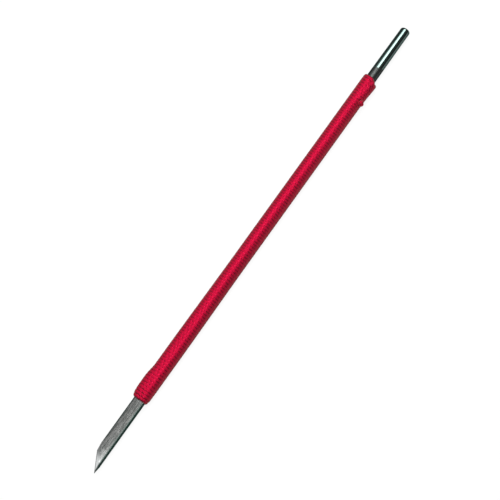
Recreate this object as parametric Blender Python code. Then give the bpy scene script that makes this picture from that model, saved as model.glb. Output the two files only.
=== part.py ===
"""Seal engraving knife: a steel bar, flat at the blade and round at the shank, its grip wound with one cord.

Metres, +Z up. The bar lies along X with its cutting tip at -X, and the flat of its blade faces up. The origin
is under the middle of the knife, on the surface that the grip rests on.
"""

import math
from typing import NamedTuple

import bmesh
import bpy
import numpy as np
from mathutils import Vector

# Lengths along the bar
KNIFE_LENGTH = 0.2000
BLADE_EXPOSED = 0.0290
SHANK_EXPOSED = 0.0240

# Steel bar
BLADE_WIDTH = 0.00415
BLADE_THICKNESS = 0.00225
TIP_THICKNESS = 0.00215
BLADE_CORNER_RADIUS = 0.00015
EDGE_SLANT = 0.0071
BEVEL_ANGLE = math.radians(34.0)
FLAT_LENGTH = 0.0480
BLEND_LENGTH = 0.0440
SHANK_DIAMETER = 0.0041
SHANK_END_DIAMETER = 0.00385
SHANK_END_ROUND = 0.0006

# Cord, flattened by the pull of the winding
CORD_WIDTH = 0.00115
CORD_THICKNESS = 0.00074
TURN_GAP = 0.00047
TAIL_WIDTH = 0.0010
TAIL_THICKNESS = 0.00045
TAIL_LIFT = 0.0009
TAIL_BEND_INSIDE = 0.00004
START_TAIL_TURNS = 7
END_TAIL_TURNS = 6
NUB_DIAMETER = 0.0016
NUB_HEIGHT = 0.0009
SEAT_GAP = 0.0001

# Finishes
STEEL_COLOUR = (0.36, 0.37, 0.36)
STEEL_ROUGHNESS = 0.32
CORD_COLOUR = (0.56, 0.012, 0.055)
CORD_ROUGHNESS = 0.75
STEEL_SHARP_ANGLE = math.radians(30.0)
CORD_SHARP_ANGLE = math.radians(80.0)

# Counts that set how finely the round shapes are drawn
CORNER_STEPS = 6
BLEND_STEPS = 10
END_STEPS = 3
TURN_SIDES = 8
BEND_STEPS = 6
NUB_STEPS = 5
MERGE_DISTANCE = 1e-7

# Places along the bar, as distances behind the tip
SHANK_START = KNIFE_LENGTH - SHANK_EXPOSED
WINDING_START = BLADE_EXPOSED + CORD_WIDTH / 2
WINDING_END = SHANK_START - CORD_WIDTH / 2

# The cord starts on the +Y side of the bar and ends on the -Y side, half a turn past a whole number of turns
HALF_TURN = 0.5
WINDING_TURNS = math.floor((WINDING_END - WINDING_START) / (CORD_WIDTH + TURN_GAP) - HALF_TURN) + HALF_TURN
PITCH = (WINDING_END - WINDING_START) / WINDING_TURNS
SIDE_ANGLE = math.tau / TURN_SIDES
TAIL_BEND = CORD_WIDTH / 2 + TAIL_BEND_INSIDE

# The turns are cut flat where the knife rests on them, a tenth of the cord deep
REST_CUT = CORD_THICKNESS / 10

# The cord's section across its width and its thickness: six points, with a flat inside and outside
CORD_PROFILE = ((1.0, 0.0), (0.5, 1.0), (-0.5, 1.0), (-1.0, 0.0), (-0.5, -1.0), (0.5, -1.0))


class Tail(NamedTuple):
    """A buried end of the cord, between the bar and the turns.

    corner is the place along the bar where it turns under the winding, inward is +1 where it then runs
    towards the shank and -1 towards the tip, outward is +1 on the +Y side of the bar and -1 on the other, and
    length is how far it runs.
    """

    corner: float
    inward: int
    outward: int
    length: float


def clear_scene():
    """Remove every object."""
    for thing in list(bpy.data.objects):
        bpy.data.objects.remove(thing, do_unlink=True)


def finish(name, colour, roughness, metallic):
    """Make a Principled material."""
    made = bpy.data.materials.new(name)
    made.use_nodes = True
    shader = made.node_tree.nodes["Principled BSDF"]
    shader.inputs["Base Color"].default_value = (*colour, 1.0)
    shader.inputs["Roughness"].default_value = roughness
    shader.inputs["Metallic"].default_value = metallic
    made.diffuse_color = (*colour, 1.0)
    return made


def clamp(share):
    """Keep a share between 0 and 1."""
    return min(max(share, 0.0), 1.0)


def ease(share):
    """Go from 0 to 1 with level ends."""
    share = clamp(share)
    return share * share * (3.0 - 2.0 * share)


def mix(first, second, share):
    """Go from the first value to the second."""
    return first + (second - first) * share


def station(behind_tip):
    """Turn a distance behind the tip into X."""
    return behind_tip - KNIFE_LENGTH / 2


def bar_section(behind_tip):
    """Give the bar's section: the half width and half height of its core, and the radius round it."""
    roundness = ease((behind_tip - FLAT_LENGTH) / BLEND_LENGTH)
    thickness = mix(TIP_THICKNESS, BLADE_THICKNESS, min(behind_tip / BLADE_EXPOSED, 1.0))
    tapered = clamp((behind_tip - SHANK_START) / SHANK_EXPOSED)
    shank_radius = mix(SHANK_DIAMETER, SHANK_END_DIAMETER, tapered) / 2
    flatness = 1.0 - roundness
    core_width = flatness * (BLADE_WIDTH / 2 - BLADE_CORNER_RADIUS)
    core_height = flatness * (thickness / 2 - BLADE_CORNER_RADIUS)
    return core_width, core_height, mix(BLADE_CORNER_RADIUS, shank_radius, roundness)


def bar_reach(behind_tip, normal):
    """Measure from the axis to the bar's outside along a direction across it."""
    core_width, core_height, radius = bar_section(behind_tip)
    return core_width * abs(normal.y) + core_height * abs(normal.z) + radius


def bar_ring(behind_tip, inset=0.0):
    """Draw the bar's section, with its rounding drawn in by inset."""
    core_width, core_height, radius = bar_section(behind_tip)
    ring = []
    for quarter in range(4):
        start = quarter * math.pi / 2
        middle = start + math.pi / 4
        core_y = math.copysign(core_width, math.cos(middle))
        core_z = math.copysign(core_height, math.sin(middle))
        for step in range(CORNER_STEPS + 1):
            angle = start + math.pi / 2 * step / CORNER_STEPS
            y = core_y + (radius - inset) * math.cos(angle)
            z = core_z + (radius - inset) * math.sin(angle)
            ring.append((station(behind_tip), y, z))
    return ring


def skin_rings(rings):
    """Skin a row of rings into a closed bmesh with an end face on each end."""
    solid = bmesh.new()
    rows = [[solid.verts.new(point) for point in ring] for ring in rings]
    count = len(rows[0])
    for near, far in zip(rows, rows[1:]):
        for i in range(count):
            j = (i + 1) % count
            solid.faces.new((near[i], near[j], far[j], far[i]))
    solid.faces.new(rows[0])
    solid.faces.new(rows[-1])
    bmesh.ops.remove_doubles(solid, verts=solid.verts, dist=MERGE_DISTANCE)
    bmesh.ops.recalc_face_normals(solid, faces=solid.faces)
    return solid


def add_solid(name, solid, material, axis, sharp_angle):
    """Make a named object of a bmesh, held by the knife's axis."""
    mesh = bpy.data.meshes.new(name)
    solid.to_mesh(mesh)
    solid.free()
    mesh.materials.append(material)
    mesh.shade_smooth()
    mesh.set_sharp_from_angle(angle=sharp_angle)
    made = bpy.data.objects.new(name, mesh)
    bpy.context.scene.collection.objects.link(made)
    made.parent = axis
    return made


def cut_away(solid, point, normal):
    """Cut off what lies past a plane and close the cut."""
    geometry = solid.verts[:] + solid.edges[:] + solid.faces[:]
    cut = bmesh.ops.bisect_plane(
        solid, geom=geometry, dist=MERGE_DISTANCE, plane_co=point, plane_no=normal, clear_outer=True
    )
    rim = [item for item in cut["geom_cut"] if isinstance(item, bmesh.types.BMEdge)]
    bmesh.ops.holes_fill(solid, edges=rim, sides=0)


def steel_bar():
    """Draw the bar from its tip to its rounded rear end, then grind the two bevels of the edge."""
    blend = [FLAT_LENGTH + BLEND_LENGTH * step / BLEND_STEPS for step in range(BLEND_STEPS + 1)]
    rings = [bar_ring(place) for place in (0.0, BLADE_EXPOSED, *blend, SHANK_START)]
    for step in range(END_STEPS + 1):
        angle = math.pi / 2 * step / END_STEPS
        place = KNIFE_LENGTH - SHANK_END_ROUND * (1.0 - math.sin(angle))
        rings.append(bar_ring(place, SHANK_END_ROUND * (1.0 - math.cos(angle))))
    solid = skin_rings(rings)
    tip = Vector((station(0.0), -BLADE_WIDTH / 2, 0.0))
    ahead = Vector((-BLADE_WIDTH, EDGE_SLANT, 0.0)).normalized()
    for face in (1.0, -1.0):
        bevel = ahead * math.sin(BEVEL_ANGLE) + Vector((0.0, 0.0, face)) * math.cos(BEVEL_ANGLE)
        cut_away(solid, tip, bevel)
    return solid


def tail_seat(tail):
    """Give the height of a tail's middle over the bar's axis, on the widest of the bar that it lies on."""
    side = Vector((0.0, 1.0, 0.0))
    ends = (tail.corner, tail.corner + tail.inward * tail.length)
    return max(bar_reach(end, side) for end in ends) + SEAT_GAP + TAIL_THICKNESS / 2


def tail_reach(tail, normal):
    """Measure from the axis to a tail's outside along a direction across the bar."""
    seat = tail_seat(tail)
    points = (
        (tail.outward * (seat + across * TAIL_THICKNESS / 2), TAIL_LIFT + along * TAIL_WIDTH / 2)
        for along, across in CORD_PROFILE
    )
    return max(y * normal.y + z * normal.z for y, z in points)


def held_reach(behind_tip, normal, tails):
    """Measure to the outside of the bar and of any tail on it, easing off in one turn past a tail's end."""
    reach = bar_reach(behind_tip, normal)
    for tail in tails:
        past = (behind_tip - tail.corner) * tail.inward - tail.length
        swell = max(tail_reach(tail, normal) - reach, 0.0)
        reach += swell * (1.0 - clamp(past / PITCH))
    return reach


def side_axes(side):
    """Give a side's outward normal and the way the cord runs along it: it turns from +Y downwards."""
    angle = -SIDE_ANGLE * side
    normal = Vector((0.0, math.cos(angle), math.sin(angle)))
    run = Vector((0.0, math.sin(angle), -math.cos(angle)))
    return normal, run


def cord_reach(behind_tip, side, tails):
    """Measure from the axis to the middle of the wound cord on one side of a turn."""
    normal, _ = side_axes(side)
    return held_reach(behind_tip, normal, tails) + SEAT_GAP + CORD_THICKNESS / 2


def cord_ring(centre, across, outward, width, thickness):
    """Draw the cord's section round a point."""
    return [
        centre + across * (width / 2 * along) + outward * (thickness / 2 * up) for along, up in CORD_PROFILE
    ]


def winding_rings(tails, rest_level):
    """Draw the winding: straight sides round the bar, with a ring on each corner and one on each end."""
    along_bar = Vector((1.0, 0.0, 0.0))
    last_side = round(WINDING_TURNS * TURN_SIDES)
    end_step = TAIL_BEND - TAIL_LIFT + SEAT_GAP
    mitre = CORD_THICKNESS / math.cos(SIDE_ANGLE / 2)
    rings = []

    def square_end(behind_tip, side, step):
        normal, run = side_axes(side)
        centre = normal * cord_reach(behind_tip, side, tails) + run * step
        centre.x = station(behind_tip)
        rings.append(cord_ring(centre, along_bar, normal, CORD_WIDTH, CORD_THICKNESS))

    square_end(WINDING_START, 0, end_step)
    for side in range(last_side):
        nominal = WINDING_START + PITCH * (side + HALF_TURN) / TURN_SIDES
        normal, run = side_axes(side)
        next_normal, _ = side_axes(side + 1)
        reach = cord_reach(nominal, side, tails)
        next_reach = cord_reach(nominal, side + 1, tails)
        corner_step = (next_reach - reach * math.cos(SIDE_ANGLE)) / math.sin(SIDE_ANGLE)
        turned = SIDE_ANGLE * side + math.atan2(corner_step, reach)
        centre = normal * reach + run * corner_step
        centre.x = station(WINDING_START + PITCH * turned / math.tau)
        rings.append(cord_ring(centre, along_bar, (normal + next_normal).normalized(), CORD_WIDTH, mitre))
    square_end(WINDING_END, last_side, -end_step)
    for ring in rings:
        for point in ring:
            point.z = max(point.z, rest_level)
    return rings


def least_turn_gap(rings):
    """Measure the least distance between the points of one turn and those of the next."""
    points = np.array([[tuple(point) for point in ring] for ring in rings])
    here = points[:-TURN_SIDES, :, None, :]
    there = points[TURN_SIDES:, None, :, :]
    return float(np.linalg.norm(here - there, axis=-1).min())


def tail_rings(tail, with_nub):
    """Draw a tail from the winding's end, round a bend, under the turns and out to its nub if it has one."""
    inward = Vector((tail.inward, 0.0, 0.0))
    outward = Vector((0.0, tail.outward, 0.0))
    upward = Vector((0.0, 0.0, 1.0))
    corner = Vector((station(tail.corner), 0.0, 0.0))
    seat = tail_seat(tail)
    turn = tail_reach(tail, outward) + SEAT_GAP + CORD_THICKNESS / 2
    rings = []

    def add_ring(along, out, up, across, thickness_way, width, thickness):
        centre = corner + inward * along + outward * out + upward * up
        rings.append(cord_ring(centre, across, thickness_way, width, thickness))

    for step in range(BEND_STEPS + 1):
        angle = math.pi / 2 * step / BEND_STEPS
        sunk = ease(step / BEND_STEPS)
        across = upward * math.sin(angle) - inward * math.cos(angle)
        along = TAIL_BEND * (1.0 - math.cos(angle))
        up = TAIL_LIFT - TAIL_BEND * (1.0 - math.sin(angle))
        width = mix(CORD_WIDTH, TAIL_WIDTH, sunk)
        thickness = mix(CORD_THICKNESS, TAIL_THICKNESS, sunk)
        add_ring(along, mix(turn, seat, sunk), up, across, outward, width, thickness)
    if not with_nub:
        add_ring(tail.length, seat, TAIL_LIFT, upward, outward, TAIL_WIDTH, TAIL_THICKNESS)
        return rings

    # The end leaves between two turns, pinched there, and its trimmed tip swells outside them
    neck = PITCH - CORD_WIDTH - 2 * SEAT_GAP
    neck_bend = TAIL_THICKNESS
    slot = tail.length - PITCH * math.atan2(TAIL_LIFT, turn) / math.tau
    for step in range(BEND_STEPS + 1):
        angle = math.pi / 2 * step / BEND_STEPS
        along = slot - neck_bend * (1.0 - math.sin(angle))
        out = seat + neck_bend * (1.0 - math.cos(angle))
        thickness_way = outward * math.cos(angle) - inward * math.sin(angle)
        thickness = mix(TAIL_THICKNESS, neck, step / BEND_STEPS)
        add_ring(along, out, TAIL_LIFT, upward, thickness_way, TAIL_WIDTH, thickness)
    nub_foot = turn + CORD_THICKNESS / 2 + SEAT_GAP
    add_ring(slot, nub_foot, TAIL_LIFT, upward, -inward, TAIL_WIDTH, neck)
    for step in range(1, NUB_STEPS + 1):
        angle = math.pi * step / (NUB_STEPS + 1)
        rise = NUB_HEIGHT * (1.0 - math.cos(angle)) / 2
        breadth = NUB_DIAMETER * math.sin(angle)
        add_ring(slot, nub_foot + rise, TAIL_LIFT, upward, -inward, breadth, breadth)
    return rings


def build():
    """Build the bar and the three stretches of its cord round one axis."""
    clear_scene()
    steel = finish("ground_steel", STEEL_COLOUR, STEEL_ROUGHNESS, metallic=1.0)
    red_cord = finish("red_cord", CORD_COLOUR, CORD_ROUGHNESS, metallic=0.0)
    downward = Vector((0.0, 0.0, -1.0))
    wound = (BLADE_EXPOSED, FLAT_LENGTH + BLEND_LENGTH, SHANK_START)
    deepest = max(bar_reach(place, downward) for place in wound)
    axis_height = deepest + SEAT_GAP + CORD_THICKNESS - REST_CUT
    axis = bpy.data.objects.new("knife_axis", None)
    axis.location.z = axis_height
    bpy.context.scene.collection.objects.link(axis)

    start_tail = Tail(WINDING_START, 1, 1, (START_TAIL_TURNS + HALF_TURN) * PITCH)
    end_tail = Tail(WINDING_END, -1, -1, (END_TAIL_TURNS + HALF_TURN) * PITCH)
    tails = (start_tail, end_tail)
    winding = winding_rings(tails, -axis_height)
    print(f"winding: {WINDING_TURNS} turns, least gap to itself {least_turn_gap(winding) * 1000:.3f} mm")

    add_solid("blade_and_shank", steel_bar(), steel, axis, STEEL_SHARP_ANGLE)
    cord_stretches = {
        "grip_winding": winding,
        "cord_start_tail": tail_rings(start_tail, with_nub=False),
        "cord_end_tail": tail_rings(end_tail, with_nub=True),
    }
    for name, rings in cord_stretches.items():
        add_solid(name, skin_rings(rings), red_cord, axis, CORD_SHARP_ANGLE)


build()
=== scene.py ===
"""Looks of the seal engraving knife: a ground and polished steel bar, its grip wound with crimson plied cord.

Metres, +Z up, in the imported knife's own frame: the bar lies along X with its cutting tip at -X, and angles
round it are counted from +Y towards +Z.
"""

import sys
import logging
import math
from dataclasses import dataclass, field
from enum import Enum
from typing import Any, Mapping, NamedTuple, Optional, Sequence, Union

import bmesh
import bpy
import numpy as np
from mathutils import Matrix, Vector


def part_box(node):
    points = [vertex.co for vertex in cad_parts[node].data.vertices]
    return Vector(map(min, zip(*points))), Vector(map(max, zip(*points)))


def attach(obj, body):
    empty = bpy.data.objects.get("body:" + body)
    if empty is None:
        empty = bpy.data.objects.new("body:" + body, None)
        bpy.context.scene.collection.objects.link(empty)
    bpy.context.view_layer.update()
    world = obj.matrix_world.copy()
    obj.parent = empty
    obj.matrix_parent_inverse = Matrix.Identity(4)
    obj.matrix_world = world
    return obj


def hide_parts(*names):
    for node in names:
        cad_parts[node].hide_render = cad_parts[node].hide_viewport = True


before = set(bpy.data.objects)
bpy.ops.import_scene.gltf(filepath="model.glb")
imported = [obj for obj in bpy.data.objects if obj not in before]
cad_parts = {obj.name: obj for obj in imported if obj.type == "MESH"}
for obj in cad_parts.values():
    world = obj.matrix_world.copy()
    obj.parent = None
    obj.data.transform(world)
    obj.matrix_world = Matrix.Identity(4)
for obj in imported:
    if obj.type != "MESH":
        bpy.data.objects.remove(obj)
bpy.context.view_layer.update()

LOG = logging.getLogger("seal_knife")
BODY = "root"
MM = 0.001
DEGREE = math.pi / 180.0
TINY = 1e-12
BELL_REACH = 3  # spreads to each side, beyond which a bell curve is taken as 0
MIDDLE = 0.5  # of a noise, and of the way from one colour to another

Colour = tuple[float, float, float]
Number = Union[int, float]
Key = Union[int, str]
Settings = Optional[Mapping[str, Any]]
Sockets = Optional[Mapping[Key, Any]]


class Slot(Enum):
    """The record's material slots."""

    STEEL = "steel"
    CORD = "cord"


class Node(Enum):
    """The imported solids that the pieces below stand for."""

    BAR = "blade_and_shank"
    WINDING = "grip_winding"
    START_TAIL = "cord_start_tail"
    END_TAIL = "cord_end_tail"


class Fade(NamedTuple):
    """A gradual change: where it begins, where it is full, and how strong it is there."""

    begins: float
    full: float
    strength: float = 1.0


class Grain(NamedTuple):
    """A noise pattern: its fineness, detail and roughness, and the share of that fineness along X."""

    scale: float
    detail: float = 2.0
    roughness: float = 0.5
    along: float = 1.0


class Wire:
    """An output socket that takes part in Python expressions: each operator adds one Math node."""

    def __init__(self, web: "Web", socket: bpy.types.NodeSocket) -> None:
        """Hold a socket and the tree it belongs to."""
        self.web = web
        self.socket = socket

    def math(self, operation: str, *others: Any) -> "Wire":
        """Add a Math node with this wire on its first input."""
        return self.web.math(operation, self, *others)

    def __add__(self, other: Any) -> "Wire":
        """Add."""
        return self.math("ADD", other)

    __radd__ = __add__

    def __mul__(self, other: Any) -> "Wire":
        """Multiply."""
        return self.math("MULTIPLY", other)

    __rmul__ = __mul__

    def __sub__(self, other: Any) -> "Wire":
        """Subtract."""
        return self.math("SUBTRACT", other)

    def __rsub__(self, other: Number) -> "Wire":
        """Subtract this wire from a number."""
        return self.web.math("SUBTRACT", other, self)

    def __truediv__(self, other: Any) -> "Wire":
        """Divide."""
        return self.math("DIVIDE", other)

    def __rtruediv__(self, other: Number) -> "Wire":
        """Divide a number by this wire."""
        return self.web.math("DIVIDE", other, self)

    def __abs__(self) -> "Wire":
        """Take the size without its sign."""
        return self.math("ABSOLUTE")

    def fade(self, fade: Fade) -> "Wire":
        """Go smoothly from 0 where a change begins to its strength where it is full."""
        sockets = {"Value": self, "From Min": fade.begins, "From Max": fade.full, "To Max": fade.strength}
        return self.web.wire("ShaderNodeMapRange", {"interpolation_type": "SMOOTHSTEP"}, sockets, "Result")


class Web:
    """A node tree under construction."""

    def __init__(self, tree: bpy.types.NodeTree) -> None:
        """Hold a tree."""
        self.tree = tree

    def add(self, kind: str, settings: Settings = None, sockets: Sockets = None) -> bpy.types.Node:
        """Add a node.

        Args:
            kind: The node's type.
            settings: Properties of the node, set before its sockets are looked up.
            sockets: Values or wires of its inputs, by index, identifier or name.

        Returns:
            The node.
        """
        node = self.tree.nodes.new(kind)
        for name, value in (settings or {}).items():
            setattr(node, name, value)
        self.feed(node, sockets or {})
        return node

    def feed(self, node: bpy.types.Node, sockets: Mapping[Key, Any]) -> None:
        """Give a node's inputs their values or links.

        Args:
            node: The node.
            sockets: Values or wires, by index, identifier or name.
        """
        for key, value in sockets.items():
            socket = self.find(node.inputs, key)
            if isinstance(value, Wire):
                self.tree.links.new(value.socket, socket)
            else:
                socket.default_value = value

    @staticmethod
    def find(sockets: Any, key: Key) -> bpy.types.NodeSocket:
        """Find a socket.

        Args:
            sockets: A node's inputs or outputs.
            key: The socket's index, identifier or name.

        Returns:
            The first enabled socket that fits.
        """
        if isinstance(key, int):
            return sockets[key]
        return next(s for s in sockets if key in (s.identifier, s.name) and s.enabled)

    def wire(self, kind: str, settings: Settings = None, sockets: Sockets = None, output: Key = 0) -> Wire:
        """Add a node and take one of its outputs."""
        return Wire(self, self.find(self.add(kind, settings, sockets).outputs, output))

    def math(self, operation: str, *values: Any) -> Wire:
        """Add a Math node on values or wires."""
        return self.wire("ShaderNodeMath", {"operation": operation}, dict(enumerate(values)), "Value")

    def parts(self, vector: Wire) -> tuple[Wire, Wire, Wire]:
        """Split a vector into its three values."""
        node = self.add("ShaderNodeSeparateXYZ", sockets={0: vector})
        return tuple(Wire(self, node.outputs[i]) for i in range(3))

    def vector(self, x: Any, y: Any, z: Any) -> Wire:
        """Join three values into a vector."""
        return self.wire("ShaderNodeCombineXYZ", sockets={0: x, 1: y, 2: z})

    def vector_math(self, operation: str, *inputs: Any) -> Wire:
        """Add a Vector Math node on two vectors."""
        return self.wire("ShaderNodeVectorMath", {"operation": operation}, dict(enumerate(inputs)), "Vector")

    def scaled(self, vector: Wire, factor: Any) -> Wire:
        """Multiply a vector by a value."""
        sockets = {"Vector": vector, "Scale": factor}
        return self.wire("ShaderNodeVectorMath", {"operation": "SCALE"}, sockets, "Vector")

    def dot(self, first: Wire, second: Any) -> Wire:
        """Multiply two vectors into a value."""
        return self.wire("ShaderNodeVectorMath", {"operation": "DOT_PRODUCT"}, {0: first, 1: second}, "Value")

    def blend(self, share: Any, first: Any, second: Any) -> Wire:
        """Mix two colours.

        Args:
            share: How much of the second colour there is, from 0 to 1.
            first: Colour or wire.
            second: Colour or wire.

        Returns:
            The mixed colour.
        """
        ends = {"A_Color": first, "B_Color": second}
        ends = {key: end if isinstance(end, Wire) else (*end, 1.0) for key, end in ends.items()}
        settings = {"data_type": "RGBA", "clamp_factor": True}
        return self.wire("ShaderNodeMix", settings, {"Factor_Float": share, **ends}, "Result_Color")

    def grain(self, place: Wire, grain: Grain) -> Wire:
        """Add a noise pattern.

        Args:
            place: Where on the pattern a point lies.
            grain: The pattern.

        Returns:
            Its value, which goes about as far below 0 as above it.
        """
        drawn_out = self.vector_math("MULTIPLY", place, (grain.along, 1.0, 1.0))
        sockets = {
            "Vector": drawn_out,
            "Scale": grain.scale,
            "Detail": grain.detail,
            "Roughness": grain.roughness,
        }
        return self.wire("ShaderNodeTexNoise", {"noise_dimensions": "3D"}, sockets, "Fac") - MIDDLE


class Paint(Web):
    """A material's node tree, around its Principled shader."""

    def __init__(self, name: str) -> None:
        """Make a material of that name."""
        self.material = bpy.data.materials.new(name)
        self.material.use_nodes = True
        super().__init__(self.material.node_tree)
        self.shader = self.tree.nodes["Principled BSDF"]

    def place(self) -> Wire:
        """Give the point's place in the knife's frame."""
        return self.wire("ShaderNodeTexCoord", output="Object")

    def facing(self) -> Wire:
        """Give the way the surface faces."""
        return self.wire("ShaderNodeNewGeometry", output="Normal")

    def attribute(self, name: str, output: str) -> Wire:
        """Read one of the mesh's own attributes."""
        return self.wire("ShaderNodeAttribute", {"attribute_name": name}, output=output)

    def bump(self, height: Wire, depth: float) -> Wire:
        """Turn a height into a bumped normal, depth metres high for a height of 1."""
        return self.wire("ShaderNodeBump", sockets={"Strength": 1.0, "Distance": depth, "Height": height})

    def finish(self, **inputs: Any) -> bpy.types.Material:
        """Set the shader's inputs.

        Args:
            inputs: Values or wires, by the input's name with _ for a space.

        Returns:
            The material.
        """
        self.feed(self.shader, {name.replace("_", " "): value for name, value in inputs.items()})
        return self.material


class Section(NamedTuple):
    """The bar's section at some places: the half sizes of its core, and the radius round it."""

    core_y: np.ndarray
    core_z: np.ndarray
    radius: np.ndarray


class Hump(NamedTuple):
    """A change on one side of the bar: how much it is, in which direction, and how far round it is felt."""

    height: float
    middle: Union[float, np.ndarray]
    spread: float

    def at(self, angle: np.ndarray) -> np.ndarray:
        """Give the change in some directions."""
        apart = np.abs((angle - self.middle + math.pi) % math.tau - math.pi)
        return self.height * np.cos(np.clip(apart / self.spread, 0.0, 1.0) * math.pi / 2) ** 2


def ease(share: np.ndarray) -> np.ndarray:
    """Go from 0 to 1 with level ends."""
    share = np.clip(share, 0.0, 1.0)
    return share * share * (3.0 - 2.0 * share)


def ease_slope(share: np.ndarray) -> np.ndarray:
    """Give how steeply ease() rises at a share from 0 to 1."""
    return 6.0 * share * (1.0 - share)


@dataclass(frozen=True)
class Places:
    """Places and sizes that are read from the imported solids."""

    tip: float
    rear: float
    grip_front: float
    grip_rear: float
    axis_height: float
    blade_width: float
    shank_diameter: float

    @classmethod
    def read(cls) -> "Places":
        """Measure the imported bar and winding.

        Returns:
            The places.
        """
        low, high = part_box(Node.BAR.value)
        front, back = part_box(Node.WINDING.value)
        return cls(
            tip=low.x,
            rear=high.x,
            grip_front=front.x,
            grip_rear=back.x,
            axis_height=(low.z + high.z) / 2,
            blade_width=high.y - low.y,
            shank_diameter=high.z - low.z,
        )


def put_in_scene(name: str, data: bpy.types.ID) -> bpy.types.Object:
    """Add an object.

    Args:
        name: Its name.
        data: Its mesh, light or camera.

    Returns:
        The object, at the origin.
    """
    thing = bpy.data.objects.new(name, data)
    bpy.context.scene.collection.objects.link(thing)
    return thing


def add_piece(
    mesh: bpy.types.Mesh, material: bpy.types.Material, slot: Slot, stands_for: Sequence[Node]
) -> None:
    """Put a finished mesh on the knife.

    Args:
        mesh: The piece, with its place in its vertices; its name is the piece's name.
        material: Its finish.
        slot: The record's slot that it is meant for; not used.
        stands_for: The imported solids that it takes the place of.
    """
    mesh.materials.clear()
    mesh.materials.append(material)
    piece = put_in_scene(mesh.name, mesh)
    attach(piece, BODY)
    if stands_for:
        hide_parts(*(node.value for node in stands_for))
    mesh.calc_loop_triangles()
    LOG.info("%s: %d triangles", piece.name, len(mesh.loop_triangles))


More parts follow.
